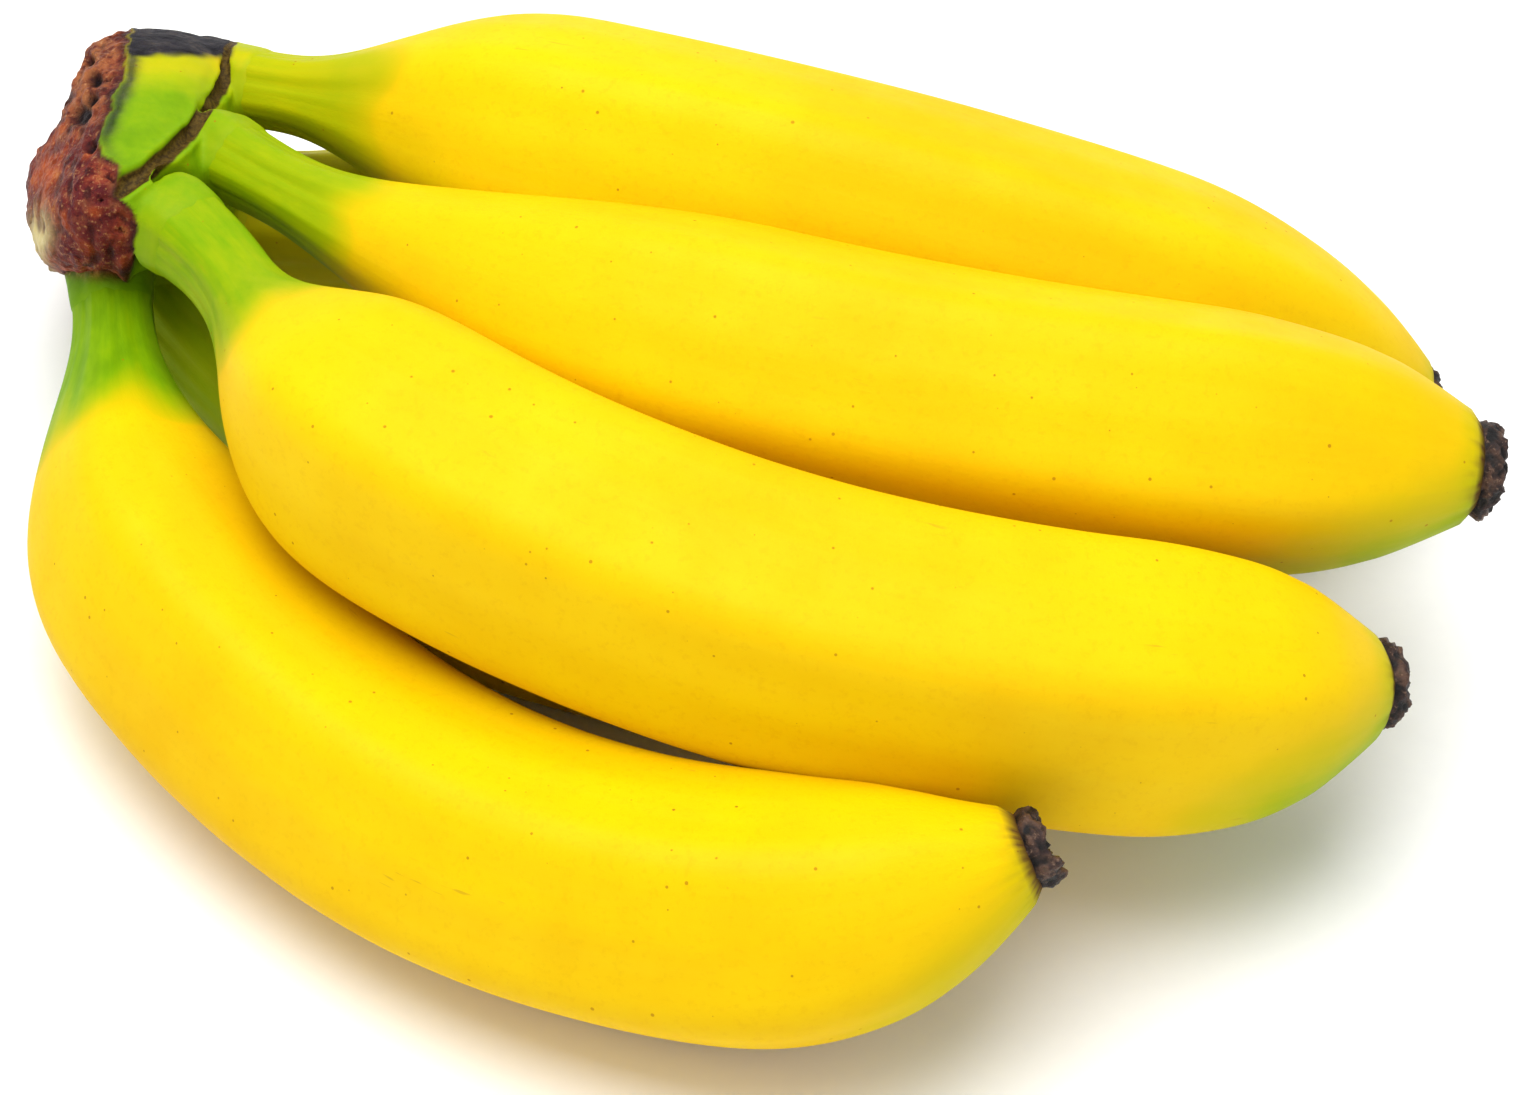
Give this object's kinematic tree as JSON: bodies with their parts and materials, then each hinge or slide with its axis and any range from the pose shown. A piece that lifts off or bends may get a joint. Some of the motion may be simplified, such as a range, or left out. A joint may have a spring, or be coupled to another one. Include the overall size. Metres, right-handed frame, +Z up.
{
  "type": "bunch of bananas",
  "caption": "Bunch of ripe yellow bananas joined at a brown cut crown, lying on its side with the fingers arching over each other.",
  "frame": {"origin": "on the surface that the bunch lies on, under the middle of its box", "axes": "+Z up, +X from the crown towards the blossom ends, -Y the near side, where the most curved finger lies"},
  "size_m": [0.2038, 0.1786, 0.0689],
  "materials": {
    "banana_skin": "waxy ripe banana skin, warm yellow with a green stalk and small brown specks, satin sheen",
    "crown": "rough fibrous cut face, red brown with black pits, and a patch of green skin on top",
    "blossom_end": "dry crumbly dark brown flower end"
  },
  "bodies": {
    "root": {"crown": "crown", "finger_1": "banana_skin", "finger_2": "banana_skin", "finger_3": "banana_skin", "finger_4": "banana_skin", "finger_5": "banana_skin", "finger_6": "banana_skin", "tip_1": "blossom_end", "tip_2": "blossom_end", "tip_3": "blossom_end", "tip_4": "blossom_end", "tip_5": "blossom_end", "tip_6": "blossom_end"}
  },
  "joints": []
}
